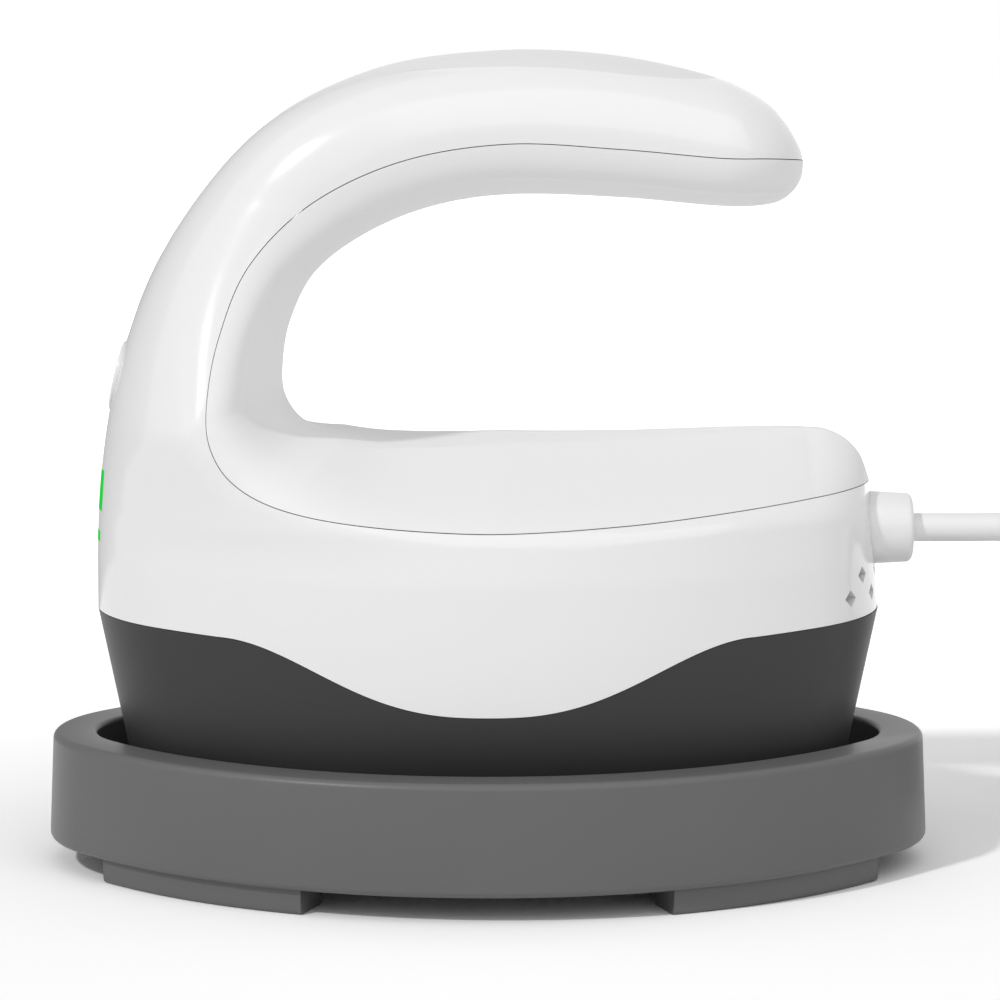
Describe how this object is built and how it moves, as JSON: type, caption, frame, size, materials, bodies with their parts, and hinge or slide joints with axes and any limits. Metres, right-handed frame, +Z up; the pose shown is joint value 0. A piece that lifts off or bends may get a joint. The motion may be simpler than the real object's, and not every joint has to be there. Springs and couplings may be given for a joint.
{
  "type": "mini handheld heat press",
  "caption": "Oval handheld heat press with a C-shaped open handle, standing in a deep oval heat-proof tray, its mains lead wound in a coil beside it.",
  "frame": {"origin": "centre of the tray's outline, on the surface it stands on", "axes": "+X towards the end where the lead leaves, +Z up; the press is mirrored about the XZ plane"},
  "size_m": [0.254, 0.1239, 0.1359],
  "materials": {
    "tray": "satin moulded",
    "gloss_white": "glossy",
    "matte_white": "fine matte",
    "satin_panel": "satin",
    "skirt_grey": "satin moulded",
    "plate": "smooth coated face",
    "element": "sheathed flat element",
    "steel": "zinc plated sheet",
    "felt": "fibre felt",
    "bead": "coated bead",
    "screw": "plated",
    "board": "printed circuit board",
    "black_part": "moulded",
    "green_part": "moulded",
    "button": "glossy",
    "lens": "translucent green",
    "cord_rubber": "satin",
    "wire": "insulated",
    "blade": "nickel plated"
  },
  "bodies": {
    "base": {"safety_tray": "tray", "cord_run": "cord_rubber", "cord_coil": "cord_rubber", "cord_tail": "cord_rubber", "cord_tie": "black_part", "plug_body": "cord_rubber", "plug_blades": "blade"},
    "press": {"outer_shell": "gloss_white", "inner_shell": "matte_white", "handle_panel": "satin_panel", "skirt": "skirt_grey", "heat_plate": "plate", "heating_element": "element", "element_clamp": "steel", "insulation_pad": "felt", "thermal_fuse": "steel", "thermistor": "bead", "plate_screws": "screw", "power_board": "board", "relay": "black_part", "capacitor": "black_part", "terminal_block": "green_part", "board_screws": "screw", "control_board": "board", "switch_body": "black_part", "light_window": "lens", "light_dot": "lens", "casing_screws": "screw", "strain_relief": "cord_rubber", "cord_clamp": "black_part", "clamp_screws": "screw", "heater_wires": "wire", "supply_wires": "wire", "signal_wires": "wire", "cord_inlet": "cord_rubber"},
    "button": {"power_button": "button"},
    "plunger": {"switch_plunger": "black_part"}
  },
  "joints": [
    {"name": "press_lift", "type": "slide", "parent": "base", "child": "press", "axis": [0, 0, 1], "range_m": [0, 0.04]},
    {"name": "button_press", "type": "slide", "parent": "press", "child": "button", "axis": [0.9737, 0, -0.2278], "range_m": [0, 0.0004], "stiffness_N_per_m": 400, "springref_m": -0.001},
    {"name": "plunger_press", "type": "slide", "parent": "press", "child": "plunger", "axis": [0.9737, 0, -0.2278], "range_m": [0, 0.0004]}
  ],
  "couplings": [
    {"joint": "plunger_press", "follows": "button_press", "ratio": 1}
  ]
}
